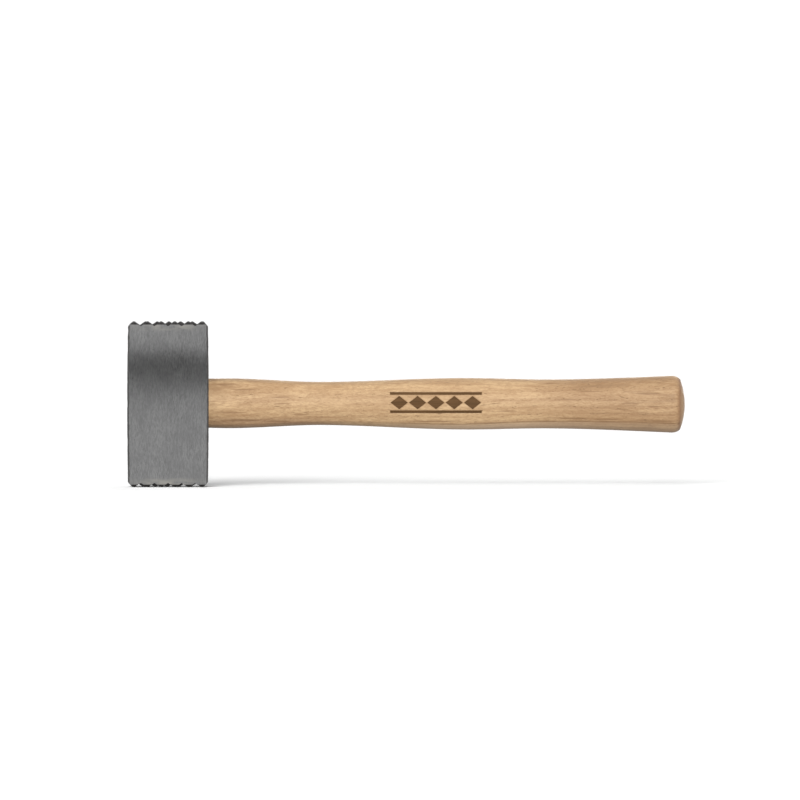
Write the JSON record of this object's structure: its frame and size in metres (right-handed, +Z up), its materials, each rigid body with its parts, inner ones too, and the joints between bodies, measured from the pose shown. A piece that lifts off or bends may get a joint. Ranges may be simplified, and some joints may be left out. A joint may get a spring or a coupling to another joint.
{
  "type": "meat mallet",
  "caption": "Heavy mallet with a square steel head, pyramid teeth on both striking faces, and a wedged oval wooden handle.",
  "frame": {"origin": "middle of the lower striking face, level with the tips of its teeth", "axes": "+X along the handle from the head to the grip's end, +Z up through the head from face to face, -Y out of the cheek that carries the burnt band"},
  "size_m": [0.28, 0.041, 0.083],
  "materials": {
    "head_steel": "ground cheeks, dark forged sides and blackened teeth",
    "handle_wood": "sanded and clear lacquered, satin",
    "wedge_wood": "sawn end grain",
    "wedge_steel": "dull, as punched"
  },
  "bodies": {
    "root": {"head": "head_steel", "handle": "handle_wood", "wooden_wedge": "wedge_wood", "steel_wedge_upper": "wedge_steel", "steel_wedge_lower": "wedge_steel"}
  },
  "joints": []
}
